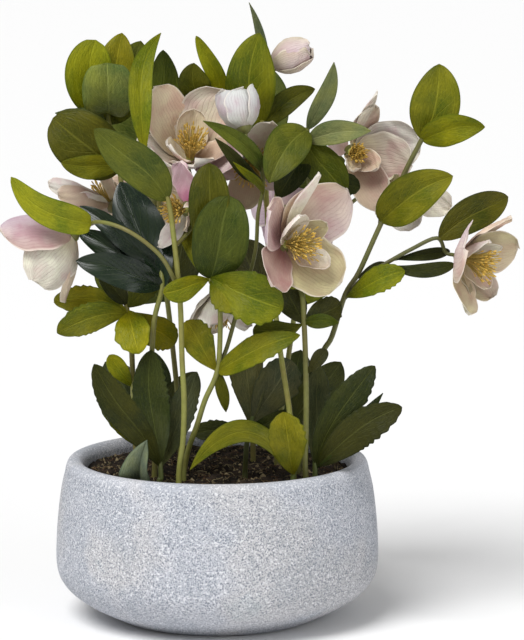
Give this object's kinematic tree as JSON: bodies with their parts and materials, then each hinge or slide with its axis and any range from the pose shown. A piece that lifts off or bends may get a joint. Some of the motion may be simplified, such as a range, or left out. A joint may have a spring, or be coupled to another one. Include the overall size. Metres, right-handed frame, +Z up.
{
  "type": "potted hellebore",
  "caption": "Low round cement bowl of soil holding leafy hellebore stems with large bracts, basal leaves, and open and closed nodding blooms.",
  "frame": {"origin": "centre of the bowl's flat underside, on the table", "axes": "+Z up along the bowl's axis, +X to the right as seen in the picture, +Y away from the viewer"},
  "size_m": [0.3597, 0.2363, 0.4314],
  "materials": {
    "cement": null,
    "earth": null,
    "stem_green": "satin leaf and stem surface",
    "basal_green": "satin dark leaf surface",
    "sepal_pink": "soft matte petal",
    "stamen_gold": "matte"
  },
  "bodies": {
    "root": {"pot": "cement", "soil": "earth", "flower_stem_1": "stem_green", "flower_stem_2": "stem_green", "flower_stem_3": "stem_green", "flower_stem_4": "stem_green", "flower_stem_5": "stem_green", "flower_stem_6": "stem_green", "flower_stem_7": "stem_green", "flower_stem_8": "stem_green", "flower_stem_9": "stem_green", "flower_stem_10": "stem_green", "basal_leaf_1": "basal_green", "basal_leaf_2": "basal_green", "basal_leaf_3": "basal_green", "basal_leaf_4": "basal_green", "basal_leaf_5": "basal_green", "basal_leaf_6": "basal_green", "basal_leaf_7": "basal_green", "bloom_1_sepals": "sepal_pink", "bloom_2_sepals": "sepal_pink", "bloom_3_sepals": "sepal_pink", "bloom_4_sepals": "sepal_pink", "bloom_5_sepals": "sepal_pink", "bloom_6_sepals": "sepal_pink", "bloom_7_sepals": "sepal_pink", "bloom_8_sepals": "sepal_pink", "bloom_9_sepals": "sepal_pink", "bloom_10_sepals": "sepal_pink", "bloom_11_sepals": "sepal_pink", "bloom_12_sepals": "sepal_pink", "bloom_13_sepals": "sepal_pink", "bloom_14_sepals": "sepal_pink", "bloom_1_stamens": "stamen_gold", "bloom_2_stamens": "stamen_gold", "bloom_5_stamens": "stamen_gold", "bloom_6_stamens": "stamen_gold", "bloom_7_stamens": "stamen_gold", "bloom_8_stamens": "stamen_gold", "bloom_9_stamens": "stamen_gold", "bloom_10_stamens": "stamen_gold", "bloom_11_stamens": "stamen_gold", "bloom_12_stamens": "stamen_gold", "bloom_13_stamens": "stamen_gold", "bloom_14_stamens": "stamen_gold"}
  },
  "joints": []
}
